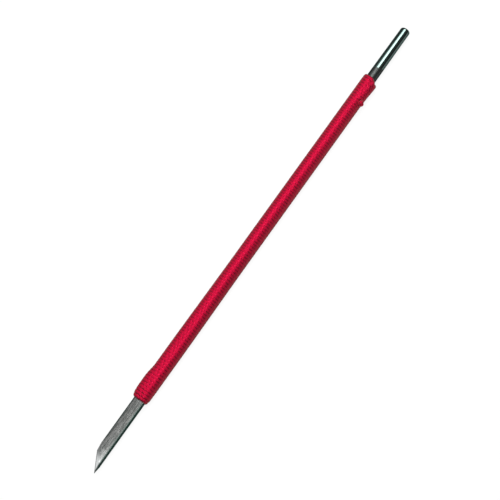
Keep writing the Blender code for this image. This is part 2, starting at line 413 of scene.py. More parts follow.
@dataclass(frozen=True)
class SteelFinish:
    """Ground blade with a honed edge, and a polished shank that is rougher next to the grip. Painted light:
    the honed zone and bevel are painted lighter towards the tip as a painted highlight, the side faces and
    the rims along the blade's edges are painted dark and a thin line along the cutting edge darker as a
    painted dark reflection, and the stretch of shank next to the grip is painted darker as painted shade
    where its highlight ends.

    Fades along the bar are counted from the tip, the darker stretch's from the grip, those of the rims and
    the painted edge line from the blade's edges, and the tip's side from the middle line. The two slopes go
    by how level the surface is.
    """

    light_streak: Colour = (0.225, 0.229, 0.224)
    dark_streak: Colour = (0.100, 0.106, 0.102)
    # honed: the honed zone's colour, laid on lighter towards the tip and the tip's -Y side as a painted
    # highlight
    honed: Colour = (0.40, 0.41, 0.41)
    # edge: the bevel faces, painted near white towards the tip as a painted highlight
    edge: Colour = (0.74, 0.76, 0.76)
    # A thin line along the cutting edge painted dark: a painted dark reflection of the edge's small bevel
    painted_edge_line: Colour = (0.16, 0.17, 0.17)
    # sides and back: the side faces and the rims along the blade's edges are painted dark as a painted dark
    # reflection
    sides: Colour = (0.056, 0.076, 0.069)
    back: Colour = (0.016, 0.026, 0.023)
    shank: Colour = (0.078, 0.112, 0.104)
    # The stretch of shank next to the grip: rougher, and painted darker as painted shade where the shank's
    # highlight ends
    dull_and_shaded: Colour = (0.054, 0.058, 0.056)
    edge_tint: Colour = (0.30, 0.33, 0.32)

    # Grinding lines and bands run along the bar, and broad clouds of uneven polish lie over them
    lines: Grain = Grain(9000.0, 3.0, 0.65, 0.05)
    bands: Grain = Grain(1800.0, 3.0, 0.6, 0.05)
    flecks: Grain = Grain(2200.0, along=0.12)
    clouds: Grain = Grain(420.0, 3.0, 0.6)
    streak_shares: tuple[float, float, float, float] = (1.2, 2.2, 3.0, 1.2)

    hidden_middle: Fade = Fade(100.0 * MM, 101.0 * MM)
    side_shade_slope: Fade = Fade(0.75, 0.40)
    back_rim_shade: Fade = Fade(0.54 * MM, 0.28 * MM, 0.9)
    back_rim_shade_start: Fade = Fade(9.5 * MM, 12.5 * MM)
    front_rim_shade: Fade = Fade(0.55 * MM, 0.30 * MM, 0.85)
    rim_wander: float = 0.3 * MM
    honed_end: Fade = Fade(9.3 * MM, 8.3 * MM)
    honed_wander: float = 2.0 * MM
    honed_lean: float = 0.35
    honed_clouds: float = 0.8
    honed_level: float = 0.2
    honed_highlight_gain: Fade = Fade(6.5 * MM, 3.0 * MM, 0.3)
    tip_highlight_gain: Fade = Fade(7.0 * MM, 3.0 * MM, 0.6)
    tip_highlight_side: Fade = Fade(0.6 * MM, -0.9 * MM)
    bevel_slope: Fade = Fade(0.97, 0.90)
    bevel_highlight_gain: Fade = Fade(8.0 * MM, 3.5 * MM)
    painted_edge_line_band: Fade = Fade(0.46 * MM, 0.14 * MM, 0.85)
    dull_end: Fade = Fade(4.55 * MM, 4.25 * MM)
    dull_lean: float = 0.4

    blade_roughness: float = 0.20
    line_roughness: float = 0.10
    honed_roughness: float = 0.04
    side_roughness: float = 0.15
    shank_roughness: float = 0.125
    cloud_roughness: float = 0.05
    dull_roughness: float = 0.32
    grind_depth: float = 0.0015 * MM
    band_relief: float = 0.5
    shank_relief: float = 0.1

    def material(self, places: Places, edge_slant: float) -> bpy.types.Material:
        """Make the material.

        Args:
            places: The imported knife's places.
            edge_slant: How far behind the tip the edge ends.

        Returns:
            The material of the whole bar.
        """
        paint = Paint("ground_and_polished_steel")
        place = paint.place()
        x, y, _ = paint.parts(place)
        level = abs(paint.parts(paint.facing())[2])
        behind, half_width = x - places.tip, places.blade_width / 2
        grains = [paint.grain(place, grain) for grain in (self.lines, self.bands, self.flecks, self.clouds)]
        lines, bands, flecks, clouds = grains

        shank = behind.fade(self.hidden_middle)
        blade = 1.0 - shank
        uneven = flecks * self.rim_wander
        # Painted dark reflection: faces that face sideways, and rims along both edges of the blade, are
        # painted dark
        back_rim_shade = (half_width - y - uneven).fade(self.back_rim_shade) * behind.fade(self.back_rim_shade_start)
        front_rim_shade = (half_width + y - uneven).fade(self.front_rim_shade)
        sides = level.fade(self.side_shade_slope).math("MAXIMUM", back_rim_shade).math("MAXIMUM", front_rim_shade) * blade
        honed = (behind + clouds * self.honed_wander - y * self.honed_lean).fade(self.honed_end)
        # Painted highlight: the honed zone is painted lighter towards the tip and towards the tip's -Y side
        honed_polish_and_highlight = clouds * self.honed_clouds + behind.fade(self.honed_highlight_gain) + self.honed_level
        honed_polish_and_highlight += y.fade(self.tip_highlight_side) * behind.fade(self.tip_highlight_gain)
        # Painted highlight: the bevel faces are painted near white, most towards the tip
        bevel = level.fade(self.bevel_slope) * honed * behind.fade(self.bevel_highlight_gain)
        edge_length = math.hypot(edge_slant, places.blade_width)
        # Painted dark reflection: a thin band along the cutting edge
        off_edge = (behind * places.blade_width - (y + half_width) * edge_slant) / edge_length
        # Rougher finish and painted shade on the stretch of shank next to the grip
        dull_and_shaded = (x - places.grip_rear + y * self.dull_lean).fade(self.dull_end) * shank

        streaks = sum((grain * share for grain, share in zip(grains, self.streak_shares)), MIDDLE)
        colour = paint.blend(streaks, self.dark_streak, self.light_streak)
        colour = paint.blend(honed * honed_polish_and_highlight, colour, self.honed)
        colour = paint.blend(bevel, colour, self.edge)
        colour = paint.blend(off_edge.fade(self.painted_edge_line_band), colour, self.painted_edge_line)
        colour = paint.blend(sides, colour, self.sides)
        colour = paint.blend(back_rim_shade * blade, colour, self.back)
        colour = paint.blend(shank, colour, paint.blend(dull_and_shaded, self.shank, self.dull_and_shaded))

        on_blade = lines * self.line_roughness + honed * self.honed_roughness + sides * self.side_roughness
        on_shank = clouds * self.cloud_roughness + dull_and_shaded * self.dull_roughness
        roughness = (on_blade + self.blade_roughness) * blade + (on_shank + self.shank_roughness) * shank
        height = lines * (blade + shank * self.shank_relief) + bands * self.band_relief
        return paint.finish(
            Base_Color=colour,
            Roughness=roughness,
            Metallic=1.0,
            Specular_Tint=(*self.edge_tint, 1.0),
            Normal=paint.bump(height, self.grind_depth),
        )


@dataclass
class SteelBar:
    """The bar: a flat blade with a slanted double-bevel edge, a tang that turns round, and a round shank."""

    places: Places
    finish: SteelFinish = field(default_factory=SteelFinish)
    blade_thickness: float = 2.25 * MM
    tip_thickness: float = 2.15 * MM
    corner_radius: float = 0.15 * MM
    edge_slant: float = 7.1 * MM
    bevel_angle: float = 34.0 * DEGREE
    flat_length: float = 48.0 * MM
    blend_length: float = 44.0 * MM
    shank_end_diameter: float = 3.85 * MM
    end_round: float = 0.8 * MM
    corner_steps: int = 14
    blend_steps: int = 32
    end_steps: int = 10
    merge_distance: float = 1e-7
    sharp_angle: float = 24.0 * DEGREE

    @property
    def blade_exposed(self) -> float:
        """The length of the blade in front of the grip."""
        return self.places.grip_front - self.places.tip

    def roundness(self, behind_tip: np.ndarray) -> np.ndarray:
        """Give 0 where the bar is flat and 1 where it is round."""
        return ease((behind_tip - self.flat_length) / self.blend_length)

    def section(self, behind_tip: np.ndarray) -> Section:
        """Give the bar's section.

        Args:
            behind_tip: Distances behind the tip.

        Returns:
            The sections there.
        """
        roundness = self.roundness(behind_tip)
        share = np.clip(behind_tip / self.blade_exposed, 0.0, 1.0)
        thickness = self.tip_thickness + (self.blade_thickness - self.tip_thickness) * share
        shank_start = self.places.grip_rear - self.places.tip
        shank_length = self.places.rear - self.places.grip_rear
        taper = np.clip((behind_tip - shank_start) / shank_length, 0.0, 1.0)
        diameter = self.places.shank_diameter + (self.shank_end_diameter - self.places.shank_diameter) * taper
        flatness = 1.0 - roundness
        return Section(
            core_y=flatness * (self.places.blade_width / 2 - self.corner_radius),
            core_z=flatness * (thickness / 2 - self.corner_radius),
            radius=self.corner_radius * flatness + diameter / 2 * roundness,
        )

    def ring(self, behind_tip: float, inset: float = 0.0) -> list[Vector]:
        """Draw the section at one place.

        Args:
            behind_tip: Distance behind the tip.
            inset: How far its rounding is drawn in.

        Returns:
            The points round the section.
        """
        core_y, core_z, radius = self.section(np.array(behind_tip))
        points = []
        for quarter in range(4):
            start = quarter * math.pi / 2
            middle = start + math.pi / 4
            for step in range(self.corner_steps + 1):
                angle = start + math.pi / 2 * step / self.corner_steps
                y = math.copysign(core_y, math.cos(middle)) + (radius - inset) * math.cos(angle)
                z = math.copysign(core_z, math.sin(middle)) + (radius - inset) * math.sin(angle)
                points.append(Vector((self.places.tip + behind_tip, y, self.places.axis_height + z)))
        return points

    def rings(self) -> list[list[Vector]]:
        """Draw all sections.

        Returns:
            The rings of points, from the tip to the rounded rear end.
        """
        shank_start = self.places.grip_rear - self.places.tip
        length = self.places.rear - self.places.tip
        blend = np.linspace(self.flat_length, self.flat_length + self.blend_length, self.blend_steps + 1)
        rings = [self.ring(place) for place in (0.0, self.blade_exposed, *blend, shank_start)]
        for step in range(self.end_steps + 1):
            angle = math.pi / 2 * step / self.end_steps
            place = length - self.end_round * (1.0 - math.sin(angle))
            rings.append(self.ring(place, self.end_round * (1.0 - math.cos(angle))))
        return rings

    def skin(self, rings: Sequence[Sequence[Vector]]) -> bmesh.types.BMesh:
        """Skin a row of rings.

        Args:
            rings: Rings of as many points each.

        Returns:
            A closed shape, whose faces point outwards.
        """
        solid = bmesh.new()
        rows = [[solid.verts.new(point) for point in ring] for ring in rings]
        count = len(rows[0])
        for near, far in zip(rows, rows[1:]):
            for i in range(count):
                j = (i + 1) % count
                solid.faces.new((near[i], near[j], far[j], far[i]))
        solid.faces.new(rows[0])
        solid.faces.new(rows[-1])
        bmesh.ops.remove_doubles(solid, verts=solid.verts, dist=self.merge_distance)
        bmesh.ops.recalc_face_normals(solid, faces=solid.faces)
        return solid

    def grind_edge(self, solid: bmesh.types.BMesh) -> None:
        """Cut the two bevels of the slanted edge.

        Args:
            solid: The bar, which is changed in place.
        """
        tip = Vector((self.places.tip, -self.places.blade_width / 2, self.places.axis_height))
        ahead = Vector((-self.places.blade_width, self.edge_slant, 0.0)).normalized()
        for face in (1.0, -1.0):
            upward = Vector((0.0, 0.0, face))
            normal = ahead * math.sin(self.bevel_angle) + upward * math.cos(self.bevel_angle)
            cut = bmesh.ops.bisect_plane(
                solid,
                geom=solid.verts[:] + solid.edges[:] + solid.faces[:],
                dist=self.merge_distance,
                plane_co=tip,
                plane_no=normal,
                clear_outer=True,
            )
            rim = [item for item in cut["geom_cut"] if isinstance(item, bmesh.types.BMEdge)]
            bmesh.ops.holes_fill(solid, edges=rim, sides=0)

    def build(self) -> None:
        """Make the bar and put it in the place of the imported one."""
        solid = self.skin(self.rings())
        self.grind_edge(solid)
        mesh = bpy.data.meshes.new("steel_bar")
        solid.to_mesh(mesh)
        solid.free()
        mesh.shade_smooth()
        mesh.set_sharp_from_angle(angle=self.sharp_angle)
        add_piece(mesh, self.finish.material(self.places, self.edge_slant), Slot.STEEL, [Node.BAR])


@dataclass(frozen=True)
class CordFinish:
    """Crimson cord of smooth thread, whose fibres run along it and give it a satin sheen."""

    thread: Colour = (0.425, 0.0034, 0.031)
    deep: Colour = (0.372, 0.0030, 0.027)
    pale: Colour = (0.480, 0.0042, 0.037)
    # Painted shade: the colour between the turns, darker where the grooves fall in shade
    groove_shade: Colour = (0.280, 0.0033, 0.024)
    edge_tint: Colour = (0.05, 0.05, 0.05)
    fuzz: float = 0.14
    sheen: float = 0.78
    gloss: float = 0.35
    roughness: float = 0.66
    fibres: Grain = Grain(1.0, 3.0, 0.6)
    fibres_round: float = 6.0
    fibre_length: float = 0.5 * MM
    fibre_depth: float = 0.02 * MM
    fibre_contrast: float = 1.6
    fibre_roughness: float = 0.2
    stains: Grain = Grain(300.0)
    stain_contrast: float = 0.6
    between_turns: Fade = Fade(0.35, 0.95)
    groove_polish: float = 0.28

    def material(self) -> bpy.types.Material:
        """Make the material.

        Returns:
            The material of all plies.
        """
        paint = Paint("crimson_cord")
        rim_x, rim_y, _ = paint.parts(paint.attribute("rim", "Vector"))
        run = paint.attribute("run", "Fac") / self.fibre_length
        on_ply = paint.vector(rim_x * self.fibres_round, rim_y * self.fibres_round, run)
        fibres = paint.grain(on_ply, self.fibres)
        stains = paint.grain(paint.place(), self.stains)
        between = paint.attribute("aside", "Fac").fade(self.between_turns)
        colour = paint.blend(fibres * self.fibre_contrast + MIDDLE, self.deep, self.pale)
        colour = paint.blend(stains * self.stain_contrast + MIDDLE, colour, self.thread)
        # Painted shade: darker between the turns
        colour = paint.blend(between, colour, self.groove_shade)
        roughness = self.roughness + fibres * self.fibre_roughness - between * self.groove_polish
        return paint.finish(
            Base_Color=colour,
            Roughness=roughness,
            Metallic=self.sheen,
            Specular_IOR_Level=self.gloss,
            Specular_Tint=(*self.edge_tint, 1.0),
            Sheen_Weight=self.fuzz,
            Normal=paint.bump(fibres, self.fibre_depth),
        )


class Route(NamedTuple):
    """The cord's middle line: its points, and by name what the plies follow at each of them."""

    points: np.ndarray
    laid: dict[str, np.ndarray]


@dataclass
class GripCord:
    """One length of plied cord: a buried tail, the close winding, and a second tail whose end stands out."""

    places: Places
    bar: SteelBar
    finish: CordFinish = field(default_factory=CordFinish)
    whole_turns: int = 127

    # The cord: the number of its plies, the length in which they go round once, how far each wound turn is
    # ahead of the one before as a share of a ply's length, a ply's radius, how far it stands off the cord's
    # middle, and how often its fibres turn for each turn of the plies, against them where negative
    plies: int = 2
    lay: float = 3.0 * MM
    nest: float = 0.6
    ply_radius: float = 0.82 * MM
    ply_reach: float = 0.20 * MM
    fibre_turns: float = -1.0

    # The winding: how the cord is pressed, sits on the round bar and bridges the flat one, and its end turns
    flatness: float = 0.24
    under_flatness: float = 0.65
    seat: float = 0.687 * MM
    bridge_radius: float = 1.6 * MM
    bridge_up: float = 0.6 * MM
    bridge_aside: float = 0.18 * MM
    bridge_front: float = 0.25
    bridge_ramp: float = 6.0 * MM
    wander: float = 0.03 * MM
    seed: int = 7
    knots_a_turn: int = 4
    front_inset: float = 1.30 * MM
    rear_inset: float = 1.05 * MM
    start_angle: float = -15.0 * DEGREE
    end_angle: float = 174.0 * DEGREE
    square_turns: float = 14.0
    step_share: float = 0.15
    end_drop: float = 0.40 * MM
    end_sink: float = 0.16 * MM
    end_turn_length: float = 1.3 * MM
    front_sink: Hump = Hump(0.22 * MM, 180.0 * DEGREE, 90.0 * DEGREE)
    front_sink_length: float = 1.3 * MM

    # The last turns are drawn askew, towards the tip on one side and back on the other
    skew: Hump = Hump(1.35 * MM, 188.0 * DEGREE, 72.0 * DEGREE)
    back_skew: Hump = Hump(0.45 * MM, 15.0 * DEGREE, 95.0 * DEGREE)
    skew_ramp: float = 9.0 * MM

    # The buried tails, and how the turns swell over them
    start_tail_angle: float = 20.0 * DEGREE
    start_tail_length: float = 12.0 * MM
    start_tail_taper: float = 5.0 * MM
    start_tail_tip: float = 0.35
    end_tail_turns: int = 8
    tail_seat: float = 0.27 * MM
    tail_flatness: float = 0.40
    tail_swell: float = 0.72
    tail_rise: float = 0.50 * MM
    end_tail_rise: float = 0.80 * MM
    tail_spread: float = 54.0 * DEGREE
    tail_fade: float = 0.6
    tail_margin: float = 0.5 * MM
    end_tail_step: float = 1.0 * MM
    bend_length: float = 1.6 * MM
    bend_size: float = 0.42 * MM
    front_start: float = 0.3
    front_ramp: float = 4.0 * MM
    rear_start: float = 0.25
    rear_ramp: float = 1.7 * MM

    # The nub, which is the cord's end standing out between two turns
    nub_angle: float = 149.0 * DEGREE
    nub_rise: float = 2.25 * MM
    nub_root: float = 1.0 * MM
    nub_lean: float = 0.7 * MM
    nub_free_from: float = 0.35 * MM
    nub_free_over: float = 0.5 * MM
    nub_dome: float = 0.60 * MM
    nub_dome_share: float = 0.98
    nub_swell: float = 1.15
    parting: float = 0.45 * MM
    parting_turns: float = 3.0
    parting_spread: float = 0.28

    # Steps of the first layout and of the mesh, which are closer at the nub, the sides of a ply, the rows of
    # its map, and the clearance over the bench
    fine_step: float = 0.04 * MM
    steps_per_lay: int = 12
    nub_length: float = 4.5 * MM
    nub_steps: int = 60
    sides: int = 10
    row_steps: int = 62
    row_margin: float = 0.04
    bench_gap: float = 0.01 * MM

    def turns(self) -> float:
        """Give the number of turns, from the start tail's side of the bar to the end tail's."""
        return self.whole_turns - (self.end_angle - self.start_angle) / math.tau

    def ends(self) -> tuple[float, float]:
        """Give the places along the bar of the first and the last turn."""
        return self.places.grip_front + self.front_inset, self.places.grip_rear - self.rear_inset

    def pitch(self) -> float:
        """Give the distance between turns."""
        front, rear = self.ends()
        return (rear - front) / self.turns()

    def end_tail_length(self) -> float:
        """Give the way from the last turn to where the cord's end comes out, midway between two turns."""
        return (self.end_tail_turns + 0.5) * self.pitch()

    def progress(self, turned: np.ndarray) -> np.ndarray:
        """Say how many pitches along the bar the cord is after some turns.

        Args:
            turned: Turns since the winding's start.

        Returns:
            The same count, but with the end turns laid square, and stepping aside at a tail's bend.
        """

        def squared(count: np.ndarray) -> np.ndarray:
            """Lay the first turns square."""
            whole = np.floor(count)
            stepped = whole + ease((count - whole - 1.0 + self.step_share) / self.step_share)
            return stepped + (count - stepped) * ease(count / self.square_turns)

        left = self.turns() - turned
        return np.where(turned < left, squared(turned), self.turns() - squared(left))

    def lane(self) -> np.ndarray:
        """Lay the cord out stretch by stretch, at fine steps, and round its bends.

        Returns:
            Rows of place along the bar, angle round it, share buried, and rise out of its seat.
        """
        front, rear = self.ends()
        start, end = self.start_angle, self.start_angle - math.tau * self.turns()
        nub = rear - self.end_tail_length()

        def stretch(length: float, first: Sequence[float], last: Sequence[float]) -> np.ndarray:
            """Lay a straight stretch."""
            return np.linspace(first, last, round(length / self.fine_step))

        turn_length = math.tau * (self.places.shank_diameter / 2 + self.seat)
        turned = np.linspace(0.0, self.turns(), round(turn_length * self.turns() / self.fine_step))
        knots = np.random.default_rng(self.seed).standard_normal(self.knots_a_turn * self.whole_turns)
        uneven = np.interp(self.knots_a_turn * turned, np.arange(len(knots)), knots)
        uneven *= ease(turned) * ease(self.turns() - turned)
        place = front + self.pitch() * self.progress(turned) + self.wander * uneven
        winding = np.stack([place, start - math.tau * turned, 0.0 * turned, 0.0 * turned], 1)
        inside_end, risen = front + self.start_tail_length, front + self.bend_length
        sunk = rear - self.bend_length
        out = end + self.nub_angle - self.end_angle
        beneath = self.start_tail_angle
        rows = np.concatenate([
            stretch(inside_end - risen, (inside_end, beneath, 1.0, 0.0), (risen, beneath, 1.0, 0.0)),
            stretch(risen - front, (risen, beneath, 1.0, 0.0), (front, start, 0.0, 0.0)),
            winding,
            stretch(rear - sunk, (rear, end, 0.0, 0.0), (sunk, end, 1.0, 0.0)),
            stretch(sunk - nub, (sunk, end, 1.0, 0.0), (nub, out, 1.0, 0.0)),
            stretch(self.nub_rise, (nub, out, 1.0, 0.0), (nub - self.nub_lean, out, 1.0, self.nub_rise)),
        ])
        spread = self.bend_size / self.fine_step
        reach = round(BELL_REACH * spread)
        weights = np.exp(-0.5 * (np.arange(-reach, reach + 1) / spread) ** 2)
        weights /= weights.sum()
        padded = np.pad(rows, ((reach, reach), (0, 0)), mode="edge")
        return np.stack([np.convolve(column, weights, "valid") for column in padded.T])

    def swelling(self, x: np.ndarray, angle: np.ndarray) -> np.ndarray:
        """Give how far the turns stand off where they pass over a tail.

        Args:
            x: Places along the bar.
            angle: Directions round it.

        Returns:
            The rise over the tails, less the sinking of the first turn on the side with no tail.
        """
        first, last = self.ends()
        front, rear = x - first, last - x
        end_length = self.end_tail_length()
        end_share = np.clip(rear / end_length, 0.0, 1.0)
        over_start = ease(self.front_start + front / self.front_ramp)
        over_start *= ease((self.start_tail_length + self.tail_margin - front) / self.start_tail_taper)
        over_start *= Hump(self.tail_rise, self.start_tail_angle, self.tail_spread).at(angle)
        over_end = ease(self.rear_start + rear / self.rear_ramp)
        over_end *= ease((end_length + self.tail_margin - rear) / self.end_tail_step)
        over_end *= 1.0 - self.tail_fade * end_share
        end_angle = self.end_angle + (self.nub_angle - self.end_angle) * end_share
        over_end *= Hump(self.end_tail_rise, end_angle, self.tail_spread).at(angle)
        sunk = ease(1.0 - front / self.front_sink_length) * self.front_sink.at(angle)
        return over_start + over_end - sunk

    @staticmethod
    def reach(section: Section, angle: np.ndarray, offset: np.ndarray) -> tuple[np.ndarray, np.ndarray]:
        """Measure out to a line that lies offset outside the bar.

        Args:
            section: The bar's sections.
            angle: Direction of each point round the axis.
            offset: Distance from the steel.

        Returns:
            The distance from the axis, and the outward normals there.
        """
        radius = section.radius + offset
        across, up = np.abs(np.cos(angle)), np.abs(np.sin(angle))
        core_y, core_z = section.core_y, section.core_z
        middle = core_y * across + core_z * up
        corner = middle + np.sqrt(np.maximum(middle**2 - core_y**2 - core_z**2 + radius**2, 0.0))
        on_side = (core_y + radius) * up <= core_z * across
        on_top = (core_z + radius) * across <= core_y * up
        distance = np.where(
            on_side,
            (core_y + radius) / np.maximum(across, TINY),
            np.where(on_top, (core_z + radius) / np.maximum(up, TINY), corner),
        )
        normal_y = np.where(on_side, 1.0, np.where(on_top, 0.0, (distance * across - core_y) / radius))
        normal_z = np.where(on_side, 0.0, np.where(on_top, 1.0, (distance * up - core_z) / radius))
        normal_y *= np.sign(np.cos(angle))
        normal_z *= np.sign(np.sin(angle))
        return distance, np.stack([0.0 * angle, normal_y, normal_z], 1)

    def twist(self, angle: np.ndarray, run: np.ndarray) -> np.ndarray:
        """Say how often the plies have gone round each other along the cord.

        Args:
            angle: Direction of each point round the axis.
            run: Length of cord up to each point.

        Returns:
            Turns of the plies. In the winding each turn nests in the one before, with its plies a fixed share
            of a ply's length further on; in the tails the plies keep the cord's plain lay.
        """
        turned = (self.start_angle - angle) / math.tau
        marks = np.interp(np.arange(self.whole_turns), turned, run)
        ply_length = self.lay / self.plies
        plies_a_turn = np.round(np.diff(marks) / ply_length - self.nest) + self.nest
        twists = np.concatenate([[0.0], np.cumsum(plies_a_turn)]) / self.plies
        outside = np.minimum(run - marks[0], 0.0) + np.maximum(run - marks[-1], 0.0)
        return np.interp(run, marks, twists) + outside / self.lay

    def wound_section(self, x: np.ndarray, buried: np.ndarray) -> Section:
        """Give the section that the cord follows.

        Args:
            x: Places along the bar.
            buried: Where the cord is a tail that lies on the steel.

        Returns:
            The bar's own section for the tails, and for the turns a rounder one that bridges the bar's flats.
        """
        behind = x - self.places.tip
        bar = self.bar.section(behind)
        bridged = (1.0 - self.bar.roundness(behind)) * (1.0 - buried)
        behind_front = x - self.places.grip_front
        ramp = self.bridge_front + (1.0 - self.bridge_front) * ease(behind_front / self.bridge_ramp)
        half_y = bar.core_y + bar.radius + self.bridge_aside * bridged
        half_z = bar.core_z + bar.radius + self.bridge_up * ramp * bridged
        radius = bar.radius + (self.bridge_radius - self.bar.corner_radius) * bridged
        radius = np.minimum(radius, np.minimum(half_y, half_z))
        return Section(half_y - radius, half_z - radius, radius)

    def route(self) -> Route:
        """Bring the lane on to the bar.

        Returns:
            The cord's middle line, with its points spaced evenly along it, and closer at the nub.
        """
        x, angle, buried, rise = self.lane()
        front, rear = self.ends()
        outermost = ease(1.0 - np.minimum(x - front, rear - x) / self.end_turn_length) * (1.0 - buried)

        # The last turns are drawn towards the tip on the side where the cord's end is pulled under them, and
        # back on the other, so they lie closer on the one and wider on the other where the easing is steep
        drawn = np.clip(1.0 - (rear - x) / self.skew_ramp, 0.0, 1.0)
        askew = self.skew.at(angle) - self.back_skew.at(angle)
        narrow = 1.0 - askew / self.skew_ramp * ease_slope(drawn)
        x = x - askew * ease(drawn)

        # The turns part where the cord's end comes out between them
        nub = rear - self.end_tail_length()
        apart = (angle - self.nub_angle + math.pi) % math.tau - math.pi
        beside = (x - nub) / (self.parting_turns * self.pitch())
        near_nub = np.exp(-(beside**2) - (apart / self.parting_spread) ** 2)
        x = x + self.parting * np.sign(x - nub) * near_nub * (1.0 - buried)

        section = self.wound_section(x, buried)
        wound = self.seat + self.swelling(x, angle) - self.end_drop * outermost
        offset = wound * (1.0 - buried) + self.tail_seat * buried + rise
        distance, outward = self.reach(section, angle, offset)
        height = self.places.axis_height + distance * np.sin(angle)
        points = np.stack([x, distance * np.cos(angle), height], 1)

        ahead = unit(np.gradient(points, axis=0))
        along = np.array([1.0, 0.0, 0.0])
        out_share = np.sum(ahead * outward, axis=1, keepdims=True)
        turned = outward * np.maximum(-ahead[:, :1], 0.0) + along * np.maximum(out_share, 0.0)
        ending = np.arange(len(x)) > len(x) - round((self.nub_rise + self.nub_root) / self.fine_step)
        outward = np.where(ending[:, None], turned, outward)
        outward = unit(outward - ahead * np.sum(ahead * outward, axis=1, keepdims=True))
        sideways = np.cross(ahead, outward)

        run = np.concatenate([[0.0], np.cumsum(np.linalg.norm(np.diff(points, axis=0), axis=1))])
        fine_from = run[-1] - self.nub_length
        coarse_step = self.lay / self.steps_per_lay
        stops = np.concatenate([
            np.arange(0.0, fine_from, coarse_step), np.linspace(fine_from, run[-1], self.nub_steps)
        ])
        out_of_seat = ease((rise - self.nub_free_from) / self.nub_free_over)
        seated = buried * (1.0 - out_of_seat)
        into_dome = np.clip(1.0 - (run[-1] - run) / self.nub_dome, 0.0, 1.0)
        dome = np.sqrt(1.0 - into_dome**2 * self.nub_dome_share)
        thinned = self.start_tail_tip + (1.0 - self.start_tail_tip) * ease(run / self.start_tail_taper)

        def pressed(flatness: float, fuller: float) -> np.ndarray:
            """Give the flatness along the cord, from that of the turns and the height that end turns gain."""
            full = flatness + fuller * outermost / (self.ply_radius + self.ply_reach)
            return full + (self.tail_flatness - full) * seated + (1.0 - full) * out_of_seat

        swell = 1.0 + (self.tail_swell - 1.0) * seated + (self.nub_swell - 1.0) * out_of_seat
        swell *= dome * thinned

        def spaced(values: np.ndarray) -> np.ndarray:
            """Read values, or rows of values, at the stops."""
            columns = values.reshape(len(run), -1).T
            return np.stack([np.interp(stops, run, column) for column in columns], 1)

        laid = {
            "run": run,
            "twist": self.twist(angle, run),
            "press": pressed(self.flatness, self.end_drop),
            "under": pressed(self.under_flatness, self.end_sink - self.end_drop),
            "narrow": narrow,
            "swell": swell,
            "free": out_of_seat,
        }
        laid = {name: spaced(values)[:, 0] for name, values in laid.items()}
        laid.update(outward=unit(spaced(outward)), sideways=unit(spaced(sideways)))
        return Route(spaced(points), laid)

    def thread_line(self, route: Route) -> bpy.types.Object:
        """Make the cord's middle line.

        Args:
            route: The line, and how the cord lies along it.

        Returns:
            A mesh of edges that carries the route's attributes.
        """
        count = len(route.points)
        mesh = bpy.data.meshes.new("cord_line")
        mesh.from_pydata(route.points.tolist(), [(i, i + 1) for i in range(count - 1)], [])
        for name, values in route.laid.items():
            kind, part = ("FLOAT", "value") if values.ndim == 1 else ("FLOAT_VECTOR", "vector")
            attribute = mesh.attributes.new(name, kind, "POINT")
            attribute.data.foreach_set(part, values.astype(np.float32).ravel())
        return put_in_scene("cord_line", mesh)

    def ply_tree(self) -> tuple[bpy.types.NodeTree, dict[str, str]]:
        """Build the tree that lays one ply round the cord's middle line.

        Returns:
            The tree, and the identifiers of its inputs by name.
        """
        tree = bpy.data.node_groups.new("cord_ply", "GeometryNodeTree")
        kinds = {
            "Line": "NodeSocketGeometry",
            "Place in lay": "NodeSocketFloat",
            "Ply reach": "NodeSocketFloat",
            "Ply radius": "NodeSocketFloat",
            "Turn pitch": "NodeSocketFloat",
            "Sides": "NodeSocketInt",
            "Fibre turns": "NodeSocketFloat",
            "Finish": "NodeSocketMaterial",
        }
        names = {}
        for name, kind in kinds.items():
            names[name] = tree.interface.new_socket(name, in_out="INPUT", socket_type=kind).identifier
        tree.interface.new_socket("Ply", in_out="OUTPUT", socket_type="NodeSocketGeometry")

        web = Web(tree)
        inlet = web.add("NodeGroupInput")
        given = {name: Wire(web, inlet.outputs[name]) for name in kinds}

        def stored(name: str, kind: str = "FLOAT") -> Wire:
            """Read an attribute."""
            settings = {"data_type": kind}
            return web.wire("GeometryNodeInputNamedAttribute", settings, {"Name": name}, "Attribute")

        def store(geometry: Wire, name: str, value: Wire, kind: str = "FLOAT") -> Wire:
            """Write an attribute on points."""
            settings = {"data_type": kind, "domain": "POINT"}
            sockets = {"Geometry": geometry, "Name": name, "Value": value}
            return web.wire("GeometryNodeStoreNamedAttribute", settings, sockets)

